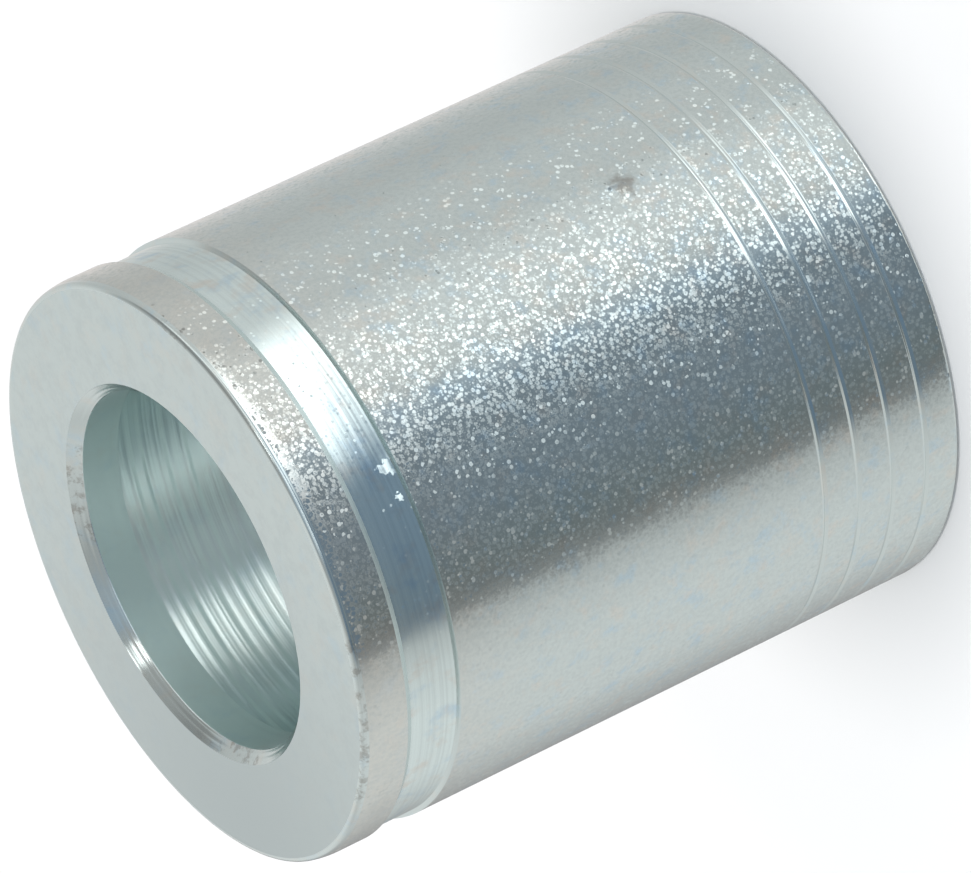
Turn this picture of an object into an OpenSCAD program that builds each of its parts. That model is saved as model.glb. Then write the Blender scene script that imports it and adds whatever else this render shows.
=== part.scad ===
// Crimp hose ferrule: one turned steel sleeve with a collar across its upper end.
// It stands on its open end, with the axis on Z and the centre of the open end at the origin.

/* [Sleeve] */
// Outside diameter of the sleeve
outer_d = 26; // [24:0.5:34]
// Length from the open end to the face of the collar
sleeve_l = 30.3; // [20:0.1:60]
// Radius on the outer edge of the open end
open_edge_r = 0.25; // [0.05:0.05:0.6]

/* [Collar] */
// Thickness of the collar
collar_t = 2.25; // [1.5:0.05:5]
// Diameter of the hole through the collar
collar_hole_d = 16; // [10:0.5:19]
// Chamfer around the mouth of the collar hole
hole_chamfer = 0.5; // [0.1:0.05:1]
// Radius on the outer edge of the collar face
collar_edge_r = 0.25; // [0.1:0.05:0.9]

/* [Hose socket] */
// Diameter of the socket, across the lands between its grip grooves
socket_d = 21; // [19.4:0.1:22.6]
// Radius in the corner between the socket wall and the back of the collar
socket_corner_r = 0.5; // [0.1:0.05:1]
// Length of the lead-in at the open end
lead_in_l = 1.2; // [0.4:0.1:2]
// Angle between the lead-in and the axis
lead_in_angle = 30; // [15:1:40]

/* [Grip grooves] */
// Distance from one grip groove to the next
grip_pitch = 0.53; // [0.5:0.01:1.5]
// Width of a grip groove at the socket wall
grip_w = 0.36; // [0.2:0.02:0.46]
// Depth of a grip groove
grip_depth = 0.04; // [0.02:0.01:0.2]
// Plain wall between the back of the collar and the first grip groove
grip_relief = 1.7; // [1.1:0.1:4]
// Plain wall between the last grip groove and the lead-in
grip_land = 3; // [0.5:0.1:8]

/* [Turned band] */
// Distance from the collar face to the band
band_offset = 2.15; // [1:0.05:6]
// Width of the band, with its sloped sides
band_w = 2.65; // [1:0.05:6]
// Depth of the band below the outside of the sleeve
band_depth = 0.2; // [0.05:0.01:0.5]
// Length along the axis of the sloped side next to the collar
band_slope = 0.3; // [0.05:0.05:0.45]
// Length along the axis of the steeper side away from the collar
band_wall = 0.1; // [0.05:0.05:0.45]

/* [Scribed rings] */
// Number of scribed rings near the open end
scribe_count = 4; // [1:1:8]
// Distance between the rings, and from the open end to the first
scribe_pitch = 1.75; // [0.8:0.05:2.5]
// Width of a scribed ring
scribe_w = 0.3; // [0.1:0.05:0.6]
// Depth of a scribed ring
scribe_depth = 0.05; // [0.02:0.01:0.15]

/* [Hidden] */
$fn = 96;

outer_r = outer_d / 2;
hole_r = collar_hole_d / 2;
socket_r = socket_d / 2;
socket_l = sleeve_l - collar_t;
band_top = sleeve_l - band_offset;
band_low = band_top - band_w;
grip_top = socket_l - grip_relief - grip_w / 2;
grip_low = lead_in_l + grip_land + grip_w / 2;
grip_count = floor((grip_top - grip_low) / grip_pitch) + 1;
// How far each cut reaches past the surface that it opens
over = 0.1;

// Sliver outside a rounded corner, which points to +X and +Y
module corner_sliver(r) {
    difference() {
        translate([-r, -r])
            square(r + over);
        translate([-r, -r])
            circle(r);
    }
}

// Groove with two sloped sides, cut into a wall that lies on the +X side
module v_groove(w, depth) {
    polygon([
        [-over, -w / 2],
        [0, -w / 2],
        [depth, 0],
        [0, w / 2],
        [-over, w / 2]
    ]);
}

// Collar hole with the chamfer at its mouth
module hole_cut() {
    translate([0, socket_l - over])
        square([hole_r, collar_t + 2 * over]);
    polygon([
        [0, sleeve_l - hole_chamfer],
        [hole_r, sleeve_l - hole_chamfer],
        [hole_r + hole_chamfer + over, sleeve_l + over],
        [0, sleeve_l + over]
    ]);
}

// Hose socket with its rounded corner behind the collar and its lead-in
module socket_cut() {
    flare = tan(lead_in_angle);
    difference() {
        translate([0, -over])
            square([socket_r, socket_l + over]);
        translate([socket_r, socket_l])
            corner_sliver(socket_corner_r);
    }
    polygon([
        [0, lead_in_l],
        [socket_r, lead_in_l],
        [socket_r + (lead_in_l + over) * flare, -over],
        [0, -over]
    ]);
}

// Rings inside the socket that bite into the hose
module grip_cuts() {
    for (i = [0 : grip_count - 1])
        translate([socket_r, grip_top - i * grip_pitch])
            v_groove(grip_w, grip_depth);
}

// Shallow band turned next to the collar
module band_cut() {
    floor_r = outer_r - band_depth;
    polygon([
        [outer_r + over, band_low],
        [outer_r, band_low],
        [floor_r, band_low + band_wall],
        [floor_r, band_top - band_slope],
        [outer_r, band_top],
        [outer_r + over, band_top]
    ]);
}

// Rings scribed at an even pitch from the open end
module scribe_cuts() {
    for (i = [1 : scribe_count])
        translate([outer_r, i * scribe_pitch])
            mirror([1, 0])
                v_groove(scribe_w, scribe_depth);
}

// Half section of the sleeve, with the axis on the left
module sleeve_section() {
    difference() {
        square([outer_r, sleeve_l]);
        translate([outer_r, sleeve_l])
            corner_sliver(collar_edge_r);
        translate([outer_r, 0])
            mirror([0, 1])
                corner_sliver(open_edge_r);
        hole_cut();
        socket_cut();
        grip_cuts();
        band_cut();
        scribe_cuts();
    }
}

module ferrule_sleeve() {
    color("silver")
        rotate_extrude()
            sleeve_section();
}

ferrule_sleeve();
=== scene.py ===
import math

import bpy
from mathutils import Matrix, Vector


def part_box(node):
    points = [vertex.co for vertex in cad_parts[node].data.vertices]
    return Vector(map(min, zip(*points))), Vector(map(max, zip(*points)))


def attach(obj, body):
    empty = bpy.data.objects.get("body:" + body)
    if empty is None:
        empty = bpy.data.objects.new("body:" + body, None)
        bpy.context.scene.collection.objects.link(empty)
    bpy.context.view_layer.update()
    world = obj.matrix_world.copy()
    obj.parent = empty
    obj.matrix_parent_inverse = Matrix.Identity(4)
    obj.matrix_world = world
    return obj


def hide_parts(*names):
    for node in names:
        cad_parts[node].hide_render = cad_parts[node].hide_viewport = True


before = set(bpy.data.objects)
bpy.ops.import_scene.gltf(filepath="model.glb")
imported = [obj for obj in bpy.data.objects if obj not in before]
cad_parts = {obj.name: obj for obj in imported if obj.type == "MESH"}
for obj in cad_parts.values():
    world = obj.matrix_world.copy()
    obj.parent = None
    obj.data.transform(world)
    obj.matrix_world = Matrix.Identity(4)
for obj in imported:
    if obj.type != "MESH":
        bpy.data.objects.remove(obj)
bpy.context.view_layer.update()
scene = bpy.context.scene
scene.view_settings.view_transform = "Standard"

mm = 0.001
fullTurn = 360.0
sleeveNode = "ferrule_sleeve"
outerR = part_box(sleeveNode)[1].x / mm
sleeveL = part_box(sleeveNode)[1].z / mm
print("frame loaded: sleeve", round(2 * outerR, 2), "x", round(sleeveL, 2), "mm")


# small helpers for node trees

def addNode(tree, kind, **settings):
    node = tree.nodes.new(kind)
    for name, value in settings.items():
        setattr(node, name, value)
    return node


def feed(tree, socket, value):
    if isinstance(value, bpy.types.NodeSocket):
        tree.links.new(value, socket)
    else:
        socket.default_value = value


def calc(tree, operation, *values):
    node = addNode(tree, "ShaderNodeMath", operation=operation)
    for socket, value in zip(node.inputs, values):
        feed(tree, socket, value)
    return node.outputs[0]


def vecCalc(tree, operation, *values):
    node = addNode(tree, "ShaderNodeVectorMath", operation=operation)
    sockets = [node.inputs[0], node.inputs["Scale"]] if operation == "SCALE" else node.inputs
    for socket, value in zip(sockets, values):
        feed(tree, socket, value)
    return node.outputs["Value"] if operation in ("LENGTH", "DISTANCE") else node.outputs["Vector"]


# value from one range to another, held at the ends
def fade(tree, value, fromLow, fromHigh, toLow=0.0, toHigh=1.0, kind="SMOOTHSTEP"):
    node = addNode(tree, "ShaderNodeMapRange", interpolation_type=kind)
    for socket, given in zip(node.inputs, (value, fromLow, fromHigh, toLow, toHigh)):
        feed(tree, socket, given)
    return node.outputs["Result"]


# 1 between two limits, with a soft shoulder at each
def between(tree, value, limits, softs):
    low, high = limits
    softLow, softHigh = softs
    rise = fade(tree, value, low - softLow, low + softLow)
    fall = fade(tree, value, high - softHigh, high + softHigh, 1.0, 0.0)
    return calc(tree, "MULTIPLY", rise, fall)


def setNoise(node, n):
    node.inputs["Scale"].default_value = n["scale"]
    node.inputs["Detail"].default_value = n["detail"]
    node.inputs["Roughness"].default_value = n["rough"]
    return node.outputs[0]


def noise(tree, place, n):
    node = addNode(tree, "ShaderNodeTexNoise")
    feed(tree, node.inputs["Vector"], place)
    return setNoise(node, n)


# noise along one number, for marks that run all the way round
def lineNoise(tree, number, n):
    node = addNode(tree, "ShaderNodeTexNoise", noise_dimensions="1D")
    feed(tree, node.inputs["W"], number)
    return setNoise(node, n)


# how much of a surface an uneven film or dirt covers, place by place
def patches(tree, place, n):
    return fade(tree, noise(tree, place, n), n["from"], n["to"], 0.0, n["share"])


def socketCalled(sockets, identifier):
    return next(s for s in sockets if s.identifier == identifier)


def mixColor(tree, share, first, second):
    node = addNode(tree, "ShaderNodeMix", data_type="RGBA")
    feed(tree, socketCalled(node.inputs, "Factor_Float"), share)
    feed(tree, socketCalled(node.inputs, "A_Color"), first)
    feed(tree, socketCalled(node.inputs, "B_Color"), second)
    return socketCalled(node.outputs, "Result_Color")


# camera: looks down at the standing sleeve and is rolled, so that the sleeve lies across the frame

camera = {
    "lens": 355.9,
    "sensor": 36.0,
    "clip": (0.01, 100.0),        # m
    "elevation": 26.17,
    "roll": -115.31,
    "distance": 400.6,            # mm, to the aim point
    "aim": (-0.185, 0.0, 15.03),  # mm
}


def makeCamera(c):
    data = bpy.data.cameras.new("viewCamera")
    data.lens = c["lens"]
    data.sensor_width = c["sensor"]
    data.clip_start, data.clip_end = c["clip"]
    view = bpy.data.objects.new("viewCamera", data)
    scene.collection.objects.link(view)
    tilt = math.radians(c["elevation"])
    back = Vector((0.0, -math.cos(tilt), math.sin(tilt)))
    turn = Matrix.Rotation(math.pi / 2 - tilt, 4, "X") @ Matrix.Rotation(math.radians(c["roll"]), 4, "Z")
    view.matrix_world = Matrix.Translation((Vector(c["aim"]) + back * c["distance"]) * mm) @ turn
    scene.camera = view


makeCamera(camera)
print("camera set")


# marks of handling: degrees round the axis, mm from the collar face

marks = {
    "dent": {"angle": 59.0, "fromCollar": 20.35, "size": 0.75, "depth": 0.09},
    "nickOne": {"angle": 88.5, "fromCollar": 4.4, "size": 0.65, "depth": 0.04},
    "nickTwo": {"angle": 94.0, "fromCollar": 4.4, "size": 0.4, "depth": 0.03},
}

# dirty places on the edges of the collar
scuffs = [
    {"angle": 46.0, "fromCollar": 0.1, "size": 1.6},
    {"angle": 132.0, "fromCollar": 0.1, "size": 5.0},
    {"angle": 200.0, "fromCollar": -0.1, "size": 3.0, "radius": 8.6},
    {"angle": 305.0, "fromCollar": -0.1, "size": 3.0, "radius": 8.6},
]

# uneven outline of a mark, as shares of its size
markEdge = {"waves": 2.0, "detail": 2.0, "rough": 0.5, "from": 0.3, "to": 0.7, "swing": 0.3}


def markPlace(m):
    angle = math.radians(m["angle"])
    radius = m.get("radius", outerR)
    return Vector((radius * math.cos(angle), -radius * math.sin(angle), sleeveL - m["fromCollar"])) * mm


# zinc finishes

zinc = {
    "color": (0.70, 0.78, 0.765, 1.0),
    "cut": (0.78, 0.89, 0.875, 1.0),       # cleaner metal in the band and the bores
    "blue": (0.58, 0.74, 0.83, 1.0),       # thin passivation, seen as faint patches
    "straw": (0.755, 0.755, 0.70, 1.0),
    "dull": (0.56, 0.63, 0.63, 1.0),       # between the crystals, and on the collar face the colour of its painted shade
    "stain": (0.20, 0.155, 0.12, 1.0),     # brown handling marks
    "film": {"detail": 3.0, "rough": 0.6, "from": 0.5, "to": 0.75},
    "strawShift": (7.0, 3.0, 5.0),         # mm, so that straw and blue patches lie apart
    "stretchTurn": 0.25,                   # highlights are drawn out across the lathe lines
}


class Finish:
    def __init__(self, name, roughness):
        self.material = bpy.data.materials.new(name)
        self.material.use_nodes = True
        self.tree = self.material.node_tree
        self.shader = next(n for n in self.tree.nodes if n.type == "BSDF_PRINCIPLED")
        self.shader.inputs["Metallic"].default_value = 1.0
        self.shader.inputs["Roughness"].default_value = roughness
        coords = addNode(self.tree, "ShaderNodeTexCoord").outputs["Object"]
        self.place = vecCalc(self.tree, "SCALE", coords, 1.0 / mm)
        split = addNode(self.tree, "ShaderNodeSeparateXYZ")
        feed(self.tree, split.inputs[0], self.place)
        self.z = split.outputs["Z"]
        flat = vecCalc(self.tree, "MULTIPLY", self.place, (1.0, 1.0, 0.0))
        self.radius = vecCalc(self.tree, "LENGTH", flat)
        self.normal = None

    # depth is in mm of relief
    def relief(self, height, depth):
        bump = addNode(self.tree, "ShaderNodeBump")
        bump.inputs["Strength"].default_value = 1.0
        bump.inputs["Distance"].default_value = depth * mm
        feed(self.tree, bump.inputs["Height"], height)
        if self.normal:
            feed(self.tree, bump.inputs["Normal"], self.normal)
        self.normal = bump.outputs["Normal"]

    # lathe lines run round the axis
    def lathed(self, stretch):
        around = vecCalc(self.tree, "CROSS_PRODUCT", (0.0, 0.0, 1.0), self.place)
        feed(self.tree, self.shader.inputs["Tangent"], vecCalc(self.tree, "NORMALIZE", around))
        self.shader.inputs["Anisotropic"].default_value = stretch
        self.shader.inputs["Anisotropic Rotation"].default_value = zinc["stretchTurn"]

    # leans the surface towards the collar by a slope
    def lean(self, slope):
        if not self.normal:
            self.normal = addNode(self.tree, "ShaderNodeNewGeometry").outputs["Normal"]
        lift = addNode(self.tree, "ShaderNodeCombineXYZ")
        feed(self.tree, lift.inputs["Z"], slope)
        leaning = vecCalc(self.tree, "ADD", self.normal, lift.outputs[0])
        self.normal = vecCalc(self.tree, "NORMALIZE", leaning)

    # 1 inside a mark, falling off past it; flat and reach are shares of the mark's size
    def spot(self, m, flat, reach):
        e = markEdge
        away = vecCalc(self.tree, "DISTANCE", self.place, tuple(markPlace(m) / mm))
        waves = noise(self.tree, self.place, {**e, "scale": e["waves"] / m["size"]})
        uneven = fade(self.tree, waves, e["from"], e["to"], -e["swing"], e["swing"], "LINEAR")
        away = calc(self.tree, "ADD", away, calc(self.tree, "MULTIPLY", uneven, m["size"]))
        return fade(self.tree, away, flat * m["size"], reach * m["size"], 1.0, 0.0)

    # blue and straw films over a base colour
    def passivated(self, film, base=zinc["color"]):
        film = {**zinc["film"], **film}
        blue = patches(self.tree, self.place, film)
        straw = patches(self.tree, vecCalc(self.tree, "ADD", self.place, zinc["strawShift"]), film)
        return mixColor(self.tree, straw, mixColor(self.tree, blue, base, zinc["blue"]), zinc["straw"])

    def finish(self, color):
        feed(self.tree, self.shader.inputs["Base Color"], color)
        feed(self.tree, self.shader.inputs["Normal"], self.normal)
        return self.material


# round spots of zinc crystals, each leaning by its own slope
def crystals(f, c):
    cells = addNode(f.tree, "ShaderNodeTexVoronoi")
    feed(f.tree, cells.inputs["Vector"], f.place)
    cells.inputs["Scale"].default_value = c["scale"]
    lot = addNode(f.tree, "ShaderNodeSeparateXYZ")
    feed(f.tree, lot.inputs[0], cells.outputs["Color"])
    away = cells.outputs["Distance"]
    soft = fade(f.tree, away, c["flat"], c["reach"], 1.0, 0.0)
    gentle = calc(f.tree, "MULTIPLY", soft, calc(f.tree, "MULTIPLY", lot.outputs["X"], c["slope"]))
    # a few steep ones have a sharp rim
    chosen = calc(f.tree, "LESS_THAN", lot.outputs["Z"], c["steepShare"])
    inside = calc(f.tree, "LESS_THAN", away, (c["flat"] + c["reach"]) / 2)
    steep = calc(f.tree, "MULTIPLY", calc(f.tree, "MULTIPLY", chosen, inside), c["steepSlope"])
    return calc(f.tree, "ADD", gentle, steep)


# outside of the drawn stock; scales are per mm, depths in mm
stock = {
    "roughness": 0.15,
    "wave": {"scale": 0.35, "detail": 2.0, "rough": 0.5, "depth": 0.03},
    "relief": {"scale": 5.0, "detail": 2.0, "rough": 0.6, "depth": 0.002},
    "coarse": {"scale": 5.6, "flat": 0.4, "reach": 0.65, "slope": 0.19,
               "steepShare": 0.1, "steepSlope": 0.56},
    "small": {"scale": 11.0, "flat": 0.4, "reach": 0.65, "slope": 0.10,
              "steepShare": 0.02, "steepSlope": 0.60},
    "film": {"scale": 1.0, "share": 0.8},
    "strawFrom": 10.0,     # mm from the collar face
    "strawShare": 0.7,
    "speckle": {"scale": 5.0, "detail": 2.0, "rough": 0.7, "from": 0.35, "to": 0.7, "share": 0.35},
    "dirt": {"flat": 0.3, "reach": 1.0, "share": 0.5},
}


def makeStockZinc(g):
    f = Finish("stockZinc", g["roughness"])
    f.relief(noise(f.tree, f.place, g["wave"]), g["wave"]["depth"])
    f.relief(noise(f.tree, f.place, g["relief"]), g["relief"]["depth"])
    f.lean(calc(f.tree, "ADD", crystals(f, g["coarse"]), crystals(f, g["small"])))
    film = fade(f.tree, f.z, sleeveL - g["strawFrom"], sleeveL, 0.0, g["strawShare"])
    color = mixColor(f.tree, film, f.passivated(g["film"]), zinc["straw"])
    color = mixColor(f.tree, patches(f.tree, f.place, g["speckle"]), color, zinc["dull"])
    dirt = f.spot(marks["dent"], g["dirt"]["flat"], g["dirt"]["reach"])
    dirt = calc(f.tree, "MULTIPLY", dirt, g["dirt"]["share"])
    return f.finish(mixColor(f.tree, dirt, color, zinc["stain"]))


# floor of the turned band
band = {
    "roughness": 0.14,
    "stretch": 0.6,
    "lines": {"scale": 5.0, "detail": 2.0, "rough": 0.6},
    "lineSpan": (0.25, 0.75),
    "slope": (0.24, 0.28),
    "slopeTurn": 0.026,   # more slope for each mm away from the collar
    "middle": 3.5,        # mm from the collar face
    "nick": {"flat": 0.45, "reach": 0.75, "slope": 0.2},
    "fleck": {"scale": 5.0, "flat": 0.2, "reach": 0.45, "slope": 0.03,
              "steepShare": 0.1, "steepSlope": 0.27},
    "film": {"scale": 0.8, "share": 0.9},
    "streak": {"from": 0.4, "to": 0.65, "share": 0.25},
}


def makeTurnedZinc(g):
    f = Finish("turnedZinc", g["roughness"])
    f.lathed(g["stretch"])
    # feed marks lean towards the collar, each by its own slope
    feedMarks = lineNoise(f.tree, f.z, g["lines"])
    slope = fade(f.tree, feedMarks, *g["lineSpan"], *g["slope"], "LINEAR")
    fromMiddle = calc(f.tree, "SUBTRACT", sleeveL - g["middle"], f.z)
    slope = calc(f.tree, "MULTIPLY_ADD", fromMiddle, g["slopeTurn"], slope)
    for name in ("nickOne", "nickTwo"):
        nick = f.spot(marks[name], g["nick"]["flat"], g["nick"]["reach"])
        slope = calc(f.tree, "ADD", slope, calc(f.tree, "MULTIPLY", nick, g["nick"]["slope"]))
    f.lean(calc(f.tree, "ADD", slope, crystals(f, g["fleck"])))
    streak = fade(f.tree, feedMarks, g["streak"]["from"], g["streak"]["to"], 0.0, g["streak"]["share"])
    return f.finish(mixColor(f.tree, streak, f.passivated(g["film"], zinc["cut"]), zinc["dull"]))


# scribed rings, edges of the collar and the chamfer in its mouth
cut = {
    "roughness": 0.15,
    "stretch": 0.85,
    "lines": {"scale": 6.0, "detail": 1.0, "rough": 0.5, "depth": 0.02},
    "film": {"scale": 0.8, "share": 0.6},
    "scuff": {"flat": 0.5, "reach": 1.0},
    "dirt": {"scale": 2.0, "detail": 3.0, "rough": 0.7, "from": 0.48, "to": 0.66, "share": 0.4},
}


def makeCutZinc(g):
    f = Finish("cutZinc", g["roughness"])
    f.lathed(g["stretch"])
    f.relief(lineNoise(f.tree, f.z, g["lines"]), g["lines"]["depth"])
    near = 0.0
    for m in scuffs:
        near = calc(f.tree, "MAXIMUM", near, f.spot(m, g["scuff"]["flat"], g["scuff"]["reach"]))
    dirt = calc(f.tree, "MULTIPLY", near, patches(f.tree, f.place, g["dirt"]))
    return f.finish(mixColor(f.tree, dirt, f.passivated(g["film"]), zinc["stain"]))


# collar face and the foot
face = {
    "roughness": 0.36,
    "lines": {"scale": 7.0, "detail": 2.0, "rough": 0.5, "depth": 0.002},
    "relief": {"scale": 6.0, "detail": 3.0, "rough": 0.6, "depth": 0.003},
    "film": {"scale": 0.7, "share": 0.4},
    "speckle": {"scale": 1.6, "detail": 3.0, "rough": 0.7, "from": 0.4, "to": 0.7, "share": 0.3},
    # painted shade: the face turns to the dull colour around one point near its rim, fading out across it
    "paintedShade": {"angle": 205.0, "radius": 12.0, "fromCollar": 0.0, "reach": 21.0, "share": 1.0},
}


def makeFaceZinc(g):
    f = Finish("faceZinc", g["roughness"])
    f.relief(lineNoise(f.tree, f.radius, g["lines"]), g["lines"]["depth"])
    f.relief(noise(f.tree, f.place, g["relief"]), g["relief"]["depth"])
    speckle = patches(f.tree, f.place, g["speckle"])
    color = mixColor(f.tree, speckle, f.passivated(g["film"]), zinc["dull"])
    # painted shade mixed into the face colour, darkest at one side of the face
    away = vecCalc(f.tree, "DISTANCE", f.place, tuple(markPlace(g["paintedShade"]) / mm))
    paintedShade = fade(f.tree, away, 0.0, g["paintedShade"]["reach"], g["paintedShade"]["share"], 0.0)
    return f.finish(mixColor(f.tree, paintedShade, color, zinc["dull"]))


# bored walls, where each feed mark has its own slope
bores = {
    "socketZinc": {"roughness": 0.32, "stretch": 0.85, "scale": 2.6, "slope": (0.06, -0.42)},
    "landZinc": {"roughness": 0.45, "stretch": 0.3, "scale": 3.5, "slope": (-0.03, 0.03)},
    "lines": {"detail": 2.0, "rough": 0.6},
    "lineSpan": (0.3, 0.7),
    "film": {"scale": 0.8, "share": 0.2},
}


def makeBoreZinc(name, g):
    wall = g[name]
    f = Finish(name, wall["roughness"])
    f.lathed(wall["stretch"])
    feedMarks = lineNoise(f.tree, f.z, {**g["lines"], "scale": wall["scale"]})
    f.lean(fade(f.tree, feedMarks, *g["lineSpan"], *wall["slope"], "LINEAR"))
    return f.finish(f.passivated(g["film"], zinc["cut"]))


stockZinc = makeStockZinc(stock)
turnedZinc = makeTurnedZinc(band)
cutZinc = makeCutZinc(cut)
faceZinc = makeFaceZinc(face)
socketZinc = makeBoreZinc("socketZinc", bores)
landZinc = makeBoreZinc("landZinc", bores)
print("zinc finishes made")


# sleeve: a half section in mm, turned round the axis by geometry nodes

sleeve = {
    "openEdge": 0.25,
    "collarT": 2.25,
    "holeR": 8.0,
    "holeChamfer": 0.5,
    "mouthWear": 0.12,
    "collarEdge": 0.25,
    "rollL": 0.7,        # the rim rolls in a little towards the collar edge
    "rollDrop": 0.08,
    "rollSteps": 7,
    "socketR": 10.5,
    "socketCorner": 0.5,
    "leadIn": 1.2,
    "leadInAngle": 30.0,
    "gripPitch": 0.53,
    "gripW": 0.36,
    "gripDepth": 0.02,
    "gripRelief": 1.7,
    "gripLand": 3.0,
    "bandOffset": 2.15,
    "bandW": 2.65,
    "bandDepth": 0.2,
    "bandSlope": 0.3,
    "bandWall": 0.1,
    "scribeCount": 4,
    "scribePitch": 1.75,
    "scribeW": 0.3,
    "scribeDepth": 0.05,
    "segments": 320,
    "wallStep": 0.5,
    "bandStep": 0.08,
    "faceStep": 0.4,
    "hold": 0.03,
    "flatGap": 0.001,    # faces this close to an end lie on it
    "crisp": 17.0,       # degrees, corners sharper than this stay crisp
}


class Section:
    tiny = 1e-6          # mm, points closer than this are one

    def __init__(self, r, z):
        self.points = [(r, z)]

    # hold adds a point close to each end, so that a round beside it shades cleanly
    def line(self, r, z, step=math.inf, hold=0.0):
        r0, z0 = self.points[-1]
        length = math.hypot(r - r0, z - z0)
        count = max(1, math.ceil(length / step))
        shares = [i / count for i in range(1, count + 1)]
        if hold:
            shares = sorted({hold / length, *shares, 1.0 - hold / length})
        for share in shares:
            self.points.append((r0 + (r - r0) * share, z0 + (z - z0) * share))

    # round about a centre, between two angles in degrees
    def round(self, r, z, radius, start, end, count=6):
        for i in range(count + 1):
            angle = math.radians(start + (end - start) * i / count)
            point = (r + radius * math.cos(angle), z + radius * math.sin(angle))
            if math.dist(point, self.points[-1]) > self.tiny:
                self.points.append(point)

    # up is 1 or -1, the way the path runs
    def groove(self, r, z, width, depth, up, step):
        self.line(r, z - up * width / 2, step)
        self.line(r + depth, z)
        self.line(r, z + up * width / 2)


def outerPath(path, s):
    bandTop = sleeveL - s["bandOffset"]
    bandLow = bandTop - s["bandW"]
    bandR = outerR - s["bandDepth"]
    path.round(outerR - s["openEdge"], s["openEdge"], s["openEdge"], -90, 0)
    for i in range(1, s["scribeCount"] + 1):
        path.groove(outerR, i * s["scribePitch"], s["scribeW"], -s["scribeDepth"], 1, s["wallStep"])
    path.line(outerR, bandLow, s["wallStep"])
    path.line(bandR, bandLow + s["bandWall"], s["bandStep"])
    path.line(bandR, bandTop - s["bandSlope"], s["bandStep"])
    path.line(outerR, bandTop, s["bandStep"])
    edge = s["collarEdge"]
    roll = math.atan(2 * s["rollDrop"] / s["rollL"])
    rollTop = sleeveL - edge * (1 - math.sin(roll))
    path.line(outerR, rollTop - s["rollL"], s["wallStep"], s["hold"])
    for i in range(1, s["rollSteps"] + 1):
        share = i / s["rollSteps"]
        path.line(outerR - s["rollDrop"] * share ** 2, rollTop - s["rollL"] * (1 - share))
    path.round(outerR - s["rollDrop"] - edge * math.cos(roll), sleeveL - edge, edge, math.degrees(roll), 90)


def innerPath(path, s):
    socketTop = sleeveL - s["collarT"]
    step = s["faceStep"]
    path.line(s["holeR"] + s["holeChamfer"], sleeveL, step, s["hold"])
    # worn corner between the chamfer, at 45 degrees, and the hole
    worn = s["mouthWear"]
    slant = math.radians(45)
    wornZ = sleeveL - s["holeChamfer"] - worn * math.tan(slant / 2)
    path.line(s["holeR"] + worn * (1 - math.cos(slant)), wornZ + worn * math.sin(slant), step, s["hold"])
    path.round(s["holeR"] + worn, wornZ, worn, 135, 180)
    path.line(s["holeR"], socketTop, step, s["hold"])
    corner = s["socketCorner"]
    path.line(s["socketR"] - corner, socketTop, step)
    path.round(s["socketR"] - corner, socketTop - corner, corner, 90, 0)
    gripTop = socketTop - s["gripRelief"] - s["gripW"] / 2
    gripLow = s["leadIn"] + s["gripLand"] + s["gripW"] / 2
    for i in range(math.floor((gripTop - gripLow) / s["gripPitch"]) + 1):
        path.groove(s["socketR"], gripTop - i * s["gripPitch"], s["gripW"], s["gripDepth"], -1, step)
    path.line(s["socketR"], s["leadIn"], step)
    flare = s["leadIn"] * math.tan(math.radians(s["leadInAngle"]))
    path.line(s["socketR"] + flare, 0.0, step)
    path.line(*path.points[0], step)


def sleeveSection(s):
    path = Section(outerR - s["openEdge"], 0.0)
    outerPath(path, s)
    innerPath(path, s)
    return path.points[:-1]


# inputs of the lathe tree, by name: heights and limits in m, the angle in radians
def latheSizes(s):
    bandTop = sleeveL - s["bandOffset"]
    bandLow = bandTop - s["bandW"]
    lengths = {
        "Inside Limit": (s["socketR"] + outerR) / 2,
        "Band Top": bandTop,
        "Band Low": bandLow,
        "Floor Top": bandTop - s["bandSlope"],
        "Floor Low": bandLow + s["bandWall"],
        "Ring Pitch": s["scribePitch"],
        "Ring Half Width": s["scribeW"] / 2,
        "Ring Limit": s["scribeCount"] * s["scribePitch"] + s["scribePitch"] / 2,
        "Edge Low": sleeveL - s["collarEdge"],
        "Hole Low": sleeveL - s["collarT"],
        "Mouth Low": sleeveL - s["holeChamfer"],
        "Face Low": sleeveL - s["flatGap"],
        "Foot Top": s["flatGap"],
    }
    for name, m in marks.items():
        lengths[name + " Size"] = m["size"]
        lengths[name + " Depth"] = m["depth"]
    sizes = {name: length * mm for name, length in lengths.items()}
    sizes["Crisp Angle"] = math.radians(s["crisp"])
    sizes["Segments"] = s["segments"]
    return sizes


def store(tree, geometry, name, value):
    node = addNode(tree, "GeometryNodeStoreNamedAttribute", data_type="FLOAT", domain="POINT")
    feed(tree, node.inputs["Geometry"], geometry)
    node.inputs["Name"].default_value = name
    feed(tree, node.inputs["Value"], value)
    return node.outputs["Geometry"]


def recall(tree, name):
    node = addNode(tree, "GeometryNodeInputNamedAttribute", data_type="FLOAT")
    node.inputs["Name"].default_value = name
    return node.outputs["Attribute"]


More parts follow.
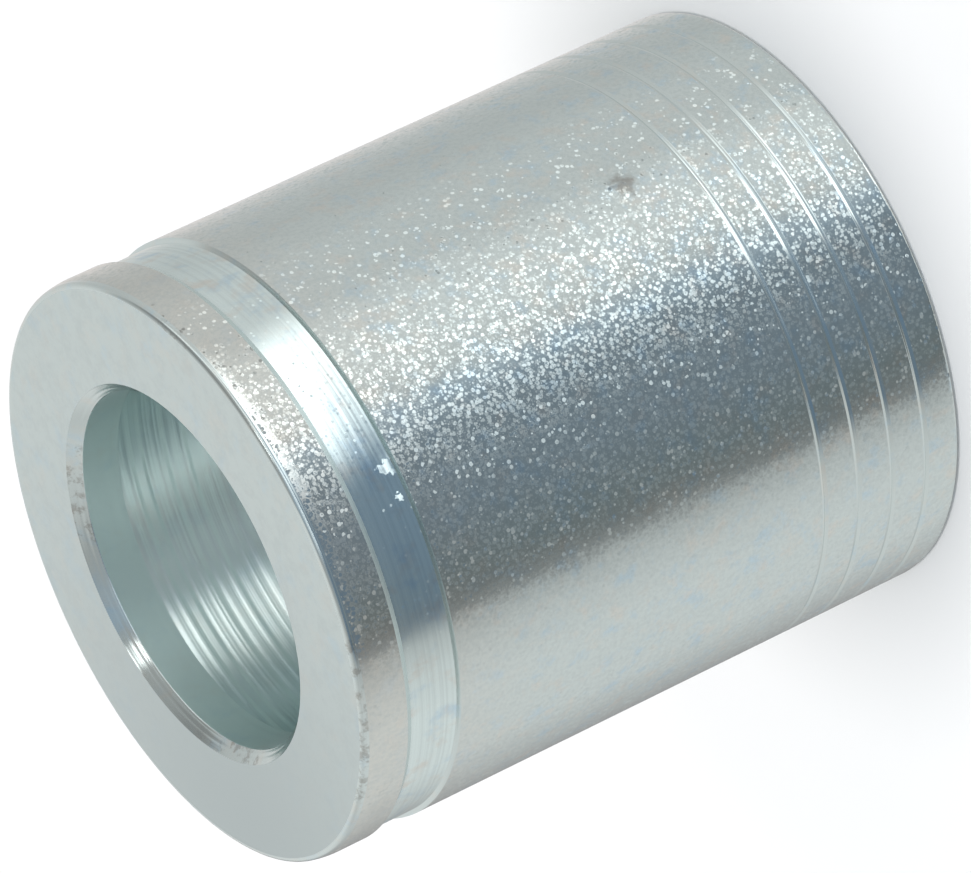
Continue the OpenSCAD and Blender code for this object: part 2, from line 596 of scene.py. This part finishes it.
# section points keep their radius and height, ring points their angle, and the swept mesh is seated by them
def turnSection(tree, given):
    section = addNode(tree, "GeometryNodeMeshToCurve")
    feed(tree, section.inputs["Mesh"], given["Geometry"])
    split = addNode(tree, "ShaderNodeSeparateXYZ")
    feed(tree, split.inputs[0], addNode(tree, "GeometryNodeInputPosition").outputs[0])
    profile = store(tree, section.outputs["Curve"], "turnRadius", split.outputs["X"])
    profile = store(tree, profile, "turnHeight", split.outputs["Z"])
    ring = addNode(tree, "GeometryNodeCurvePrimitiveCircle", mode="RADIUS")
    feed(tree, ring.inputs["Resolution"], given["Segments"])
    index = addNode(tree, "GeometryNodeInputIndex").outputs[0]
    angle = calc(tree, "MULTIPLY", calc(tree, "DIVIDE", index, given["Segments"]), 2 * math.pi)
    path = store(tree, ring.outputs["Curve"], "turnAngle", angle)
    sweep = addNode(tree, "GeometryNodeCurveToMesh")
    feed(tree, sweep.inputs["Curve"], path)
    feed(tree, sweep.inputs["Profile Curve"], profile)
    radius = recall(tree, "turnRadius")
    around = recall(tree, "turnAngle")
    turned = addNode(tree, "ShaderNodeCombineXYZ")
    feed(tree, turned.inputs["X"], calc(tree, "MULTIPLY", radius, calc(tree, "COSINE", around)))
    feed(tree, turned.inputs["Y"], calc(tree, "MULTIPLY", radius, calc(tree, "SINE", around)))
    feed(tree, turned.inputs["Z"], recall(tree, "turnHeight"))
    seat = addNode(tree, "GeometryNodeSetPosition")
    feed(tree, seat.inputs["Geometry"], sweep.outputs["Mesh"])
    feed(tree, seat.inputs["Position"], turned.outputs[0])
    return seat.outputs["Geometry"]


def pressMarks(tree, given, shape):
    place = addNode(tree, "GeometryNodeInputPosition").outputs[0]
    normal = addNode(tree, "GeometryNodeInputNormal").outputs[0]
    for name, m in marks.items():
        away = vecCalc(tree, "DISTANCE", place, tuple(markPlace(m)))
        deepest = calc(tree, "MULTIPLY", given[name + " Depth"], -1.0)
        depth = fade(tree, away, 0.0, given[name + " Size"], deepest, 0.0)
        press = addNode(tree, "GeometryNodeSetPosition")
        feed(tree, press.inputs["Geometry"], shape)
        feed(tree, press.inputs["Offset"], vecCalc(tree, "SCALE", normal, depth))
        shape = press.outputs["Geometry"]
    return shape


# smooth faces with crisp corners
def shadeCorners(tree, given, shape):
    smooth = addNode(tree, "GeometryNodeSetShadeSmooth", domain="FACE")
    feed(tree, smooth.inputs["Geometry"], shape)
    corner = addNode(tree, "GeometryNodeInputMeshEdgeAngle").outputs["Unsigned Angle"]
    crisp = addNode(tree, "GeometryNodeSetShadeSmooth", domain="EDGE")
    feed(tree, crisp.inputs["Geometry"], smooth.outputs["Geometry"])
    feed(tree, crisp.inputs["Selection"], calc(tree, "GREATER_THAN", corner, given["Crisp Angle"]))
    crisp.inputs["Shade Smooth"].default_value = False
    return crisp.outputs["Geometry"]


# finishes by where a face lies
def coatFaces(tree, given, shape):
    place = addNode(tree, "GeometryNodeInputPosition").outputs[0]
    split = addNode(tree, "ShaderNodeSeparateXYZ")
    feed(tree, split.inputs[0], place)
    height = split.outputs["Z"]
    reach = vecCalc(tree, "LENGTH", vecCalc(tree, "MULTIPLY", place, (1.0, 1.0, 0.0)))

    def over(limit):
        return calc(tree, "GREATER_THAN", height, given[limit])

    def under(limit):
        return calc(tree, "LESS_THAN", height, given[limit])

    def both(first, second):
        return calc(tree, "MULTIPLY", first, second)

    def either(first, second):
        return calc(tree, "MAXIMUM", first, second)

    outside = calc(tree, "GREATER_THAN", reach, given["Inside Limit"])
    inside = calc(tree, "SUBTRACT", 1.0, outside)
    inBand = both(over("Band Low"), under("Band Top"))
    onFloor = both(over("Floor Low"), under("Floor Top"))
    onSlope = both(inBand, over("Floor Top"))
    # scribed rings: near a whole number of pitches from the foot
    nearest = calc(tree, "ROUND", calc(tree, "DIVIDE", height, given["Ring Pitch"]))
    ringHeight = calc(tree, "MULTIPLY", nearest, given["Ring Pitch"])
    fromRing = calc(tree, "ABSOLUTE", calc(tree, "SUBTRACT", height, ringHeight))
    inRing = both(calc(tree, "LESS_THAN", fromRing, given["Ring Half Width"]), under("Ring Limit"))
    cutFaces = either(inBand, either(inRing, over("Edge Low")))
    picks = [
        (socketZinc, None),
        (stockZinc, outside),
        (cutZinc, both(outside, cutFaces)),
        (landZinc, both(outside, onSlope)),
        (turnedZinc, both(outside, onFloor)),
        (landZinc, both(inside, over("Hole Low"))),
        (cutZinc, both(inside, over("Mouth Low"))),
        (faceZinc, either(over("Face Low"), under("Foot Top"))),
    ]
    for material, pick in picks:
        coat = addNode(tree, "GeometryNodeSetMaterial")
        feed(tree, coat.inputs["Geometry"], shape)
        coat.inputs["Material"].default_value = material
        if pick is not None:
            feed(tree, coat.inputs["Selection"], pick)
        shape = coat.outputs["Geometry"]
    return shape


def latheTree(sizes):
    tree = bpy.data.node_groups.new("turnedSleeve", "GeometryNodeTree")
    tree.interface.new_socket("Geometry", in_out="INPUT", socket_type="NodeSocketGeometry")
    tree.interface.new_socket("Geometry", in_out="OUTPUT", socket_type="NodeSocketGeometry")
    sockets = {}
    for name, size in sizes.items():
        kind = "NodeSocketInt" if isinstance(size, int) else "NodeSocketFloat"
        sockets[name] = tree.interface.new_socket(name, in_out="INPUT", socket_type=kind).identifier
    given = addNode(tree, "NodeGroupInput").outputs
    shape = turnSection(tree, given)
    shape = pressMarks(tree, given, shape)
    shape = shadeCorners(tree, given, shape)
    whole = addNode(tree, "GeometryNodeRealizeInstances")
    feed(tree, whole.inputs["Geometry"], shape)
    shape = coatFaces(tree, given, whole.outputs["Geometry"])
    result = addNode(tree, "NodeGroupOutput")
    feed(tree, result.inputs["Geometry"], shape)
    return tree, sockets


def makeSleeve(s):
    points = sleeveSection(s)
    wire = bpy.data.meshes.new("sleeveSection")
    edges = [(i, (i + 1) % len(points)) for i in range(len(points))]
    wire.from_pydata([(r * mm, 0.0, z * mm) for r, z in points], edges, [])
    draft = bpy.data.objects.new("sleeveDraft", wire)
    scene.collection.objects.link(draft)
    sizes = latheSizes(s)
    tree, sockets = latheTree(sizes)
    modifier = draft.modifiers.new("turnedSleeve", "NODES")
    modifier.node_group = tree
    for name, identifier in sockets.items():
        modifier[identifier] = sizes[name]
    view = bpy.context.evaluated_depsgraph_get()
    mesh = bpy.data.meshes.new_from_object(draft.evaluated_get(view))
    mesh.name = "ferruleSleeve"
    piece = bpy.data.objects.new("ferruleSleeve", mesh)
    scene.collection.objects.link(piece)
    draft.modifiers.remove(modifier)
    bpy.data.objects.remove(draft)
    return piece


ferruleSleeve = makeSleeve(sleeve)
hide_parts(sleeveNode)
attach(ferruleSleeve, "root")
triangles = sum(len(p.vertices) - 2 for p in ferruleSleeve.data.polygons)
print("sleeve turned:", triangles, "triangles,", len(ferruleSleeve.data.materials), "finishes")


# studio: pale floor and a soft surround, given by the compass angle from +Y towards +X

studio = {
    "floorColor": (0.95, 0.95, 0.95, 1.0),
    "floorSize": 20.0,       # m
    "floorGap": 0.01,        # mm under the sleeve
    "topLamp": 4.4,          # W
    "topSize": 0.5,          # m
    "topHeight": 0.9,        # m
    # soft panels: compass turn and rise in degrees; one leans sideways by a degree for each degree up
    "lamps": [
        # crystals, and the white patch on the band
        {"turn": (119, 166), "turnSoft": (16, 14), "rise": (-11, 4), "riseSoft": (12, 4),
         "level": 1.5, "lean": 1.0},
        # foot of the dark zone
        {"turn": (176, 232), "turnSoft": (12, 4), "rise": (-16, -5), "riseSoft": (6, 6), "level": 0.1},
        # dots in the dark zone
        {"turn": (168, 196), "turnSoft": (8, 8), "rise": (35, 52), "riseSoft": (4, 4), "level": 0.5},
        # glints in the nicks
        {"turn": (160, 194), "turnSoft": (6, 6), "rise": (23, 29), "riseSoft": (2, 2), "level": 1.5},
        # dots above the crest
        {"turn": (84, 122), "turnSoft": (8, 8), "rise": (18, 33), "riseSoft": (2, 4), "level": 0.5},
        # lines in the mouth
        {"turn": (126, 146), "turnSoft": (4, 4), "rise": (57, 62), "riseSoft": (2, 2), "level": 4.0},
        # dots on the crest
        {"turn": (122, 168), "turnSoft": (8, 8), "rise": (28, 46), "riseSoft": (2, 4), "level": 0.8},
        # socket, through the open end
        {"turn": (110, 157), "turnSoft": (8, 6), "rise": (-74, -58), "riseSoft": (4, 4), "level": 1.7},
    ],
    "underFrom": -70.0,      # one level straight below
    "underTo": -80.0,
    "underLevel": 0.85,
    "eyeFrom": -10.0,        # from the surround below to the one above
    "eyeTo": 10.0,
    "overheadFrom": 28.0,
    "overheadTo": 36.0,
    "plain": (1.0, 1.0, 1.0),
    "cool": (0.84, 1.0, 1.17),
    "azure": (0.74, 1.0, 1.30),
    "teal": (0.88, 1.0, 1.05),
    "warm": (1.05, 1.0, 0.985),
    # compass angle, level and tint of the surround, below and above eye height and overhead
    "below": [
        (0, 0.80, "warm"), (20, 0.73, "warm"), (40, 0.60, "plain"), (60, 0.56, "plain"),
        (90, 0.665, "plain"), (110, 0.66, "plain"), (120, 0.775, "plain"), (130, 0.79, "plain"),
        (142, 0.75, "plain"), (152, 0.635, "plain"), (161, 0.45, "cool"), (172, 0.25, "cool"),
        (200, 0.23, "cool"), (222, 0.20, "teal"), (233, 0.21, "plain"), (240, 0.52, "plain"),
        (252, 0.67, "plain"), (270, 0.76, "plain"), (300, 0.74, "plain"), (320, 0.57, "plain"),
        (345, 0.37, "plain"), (357, 0.33, "warm"),
    ],
    "above": [
        (0, 0.8, "plain"), (25, 0.74, "plain"), (45, 0.58, "plain"), (60, 0.56, "plain"),
        (90, 0.62, "plain"), (120, 0.68, "plain"), (160, 0.40, "cool"), (172, 0.26, "azure"),
        (200, 0.23, "azure"), (230, 0.21, "azure"), (240, 0.52, "plain"), (252, 0.66, "plain"),
        (280, 0.76, "plain"), (312, 0.62, "plain"), (335, 0.8, "plain"), (359, 0.8, "plain"),
    ],
    "overhead": [
        (0, 0.8, "plain"), (14, 0.6, "plain"), (30, 0.46, "plain"), (46, 0.40, "plain"),
        (56, 0.28, "plain"), (78, 0.28, "plain"), (92, 0.38, "plain"), (112, 0.40, "plain"),
        (140, 0.40, "plain"), (170, 0.42, "cool"), (235, 0.4, "plain"), (262, 0.6, "plain"),
        (340, 0.8, "plain"),
    ],
}


def surroundRamp(tree, turn, s, stops):
    node = addNode(tree, "ShaderNodeValToRGB")
    elements = node.color_ramp.elements
    while len(elements) < len(stops):
        elements.new(0.5)    # each goes to its own angle below
    for element, (angle, level, tint) in zip(elements, stops):
        element.position = angle / fullTurn
        element.color = (*[level * t for t in s[tint]], 1.0)
    feed(tree, node.inputs["Fac"], turn)
    return node.outputs["Color"]


def makeWorld(s):
    world = bpy.data.worlds.new("studioSurround")
    scene.world = world
    world.use_nodes = True
    tree = world.node_tree
    background = next(n for n in tree.nodes if n.type == "BACKGROUND")
    direction = addNode(tree, "ShaderNodeTexCoord").outputs["Generated"]
    split = addNode(tree, "ShaderNodeSeparateXYZ")
    feed(tree, split.inputs[0], direction)
    around = calc(tree, "ARCTAN2", split.outputs["X"], split.outputs["Y"])
    turn = calc(tree, "FRACT", calc(tree, "DIVIDE", around, 2 * math.pi))
    degrees = calc(tree, "MULTIPLY", turn, fullTurn)
    rise = calc(tree, "MULTIPLY", calc(tree, "ARCSINE", split.outputs["Z"]), math.degrees(1.0))
    below = surroundRamp(tree, turn, s, s["below"])
    above = surroundRamp(tree, turn, s, s["above"])
    total = mixColor(tree, fade(tree, rise, s["eyeFrom"], s["eyeTo"]), below, above)
    under = (*[s["underLevel"]] * 3, 1.0)
    total = mixColor(tree, fade(tree, rise, s["underTo"], s["underFrom"]), under, total)
    overhead = surroundRamp(tree, turn, s, s["overhead"])
    total = mixColor(tree, fade(tree, rise, s["overheadFrom"], s["overheadTo"]), total, overhead)
    for lamp in s["lamps"]:
        sideways = calc(tree, "ADD", degrees, calc(tree, "MULTIPLY", rise, lamp.get("lean", 0.0)))
        shape = calc(tree, "MULTIPLY",
                     between(tree, sideways, lamp["turn"], lamp["turnSoft"]),
                     between(tree, rise, lamp["rise"], lamp["riseSoft"]))
        total = vecCalc(tree, "ADD", total, calc(tree, "MULTIPLY", shape, lamp["level"]))
    feed(tree, background.inputs["Color"], total)
    background.inputs["Strength"].default_value = 1.0


def makeFloor(s):
    half = s["floorSize"] / 2
    z = -s["floorGap"] * mm
    corners = [(-half, -half, z), (half, -half, z), (half, half, z), (-half, half, z)]
    mesh = bpy.data.meshes.new("paleFloor")
    mesh.from_pydata(corners, [], [(0, 1, 2, 3)])
    floor = bpy.data.objects.new("paleFloor", mesh)
    scene.collection.objects.link(floor)
    paint = bpy.data.materials.new("floorPaint")
    paint.use_nodes = True
    shader = next(n for n in paint.node_tree.nodes if n.type == "BSDF_PRINCIPLED")
    shader.inputs["Base Color"].default_value = s["floorColor"]
    shader.inputs["Roughness"].default_value = 1.0
    shader.inputs["Specular IOR Level"].default_value = 0.0
    mesh.materials.append(paint)
    floor.visible_glossy = False    # the zinc mirrors the soft surround instead


def makeTopLamp(s):
    data = bpy.data.lights.new("topLamp", "AREA")
    data.shape = "DISK"
    data.size = s["topSize"]
    data.energy = s["topLamp"]
    lamp = bpy.data.objects.new("topLamp", data)
    lamp.location = (0.0, 0.0, s["topHeight"])
    lamp.visible_glossy = False
    scene.collection.objects.link(lamp)


makeWorld(studio)
makeFloor(studio)
makeTopLamp(studio)
print("studio set")
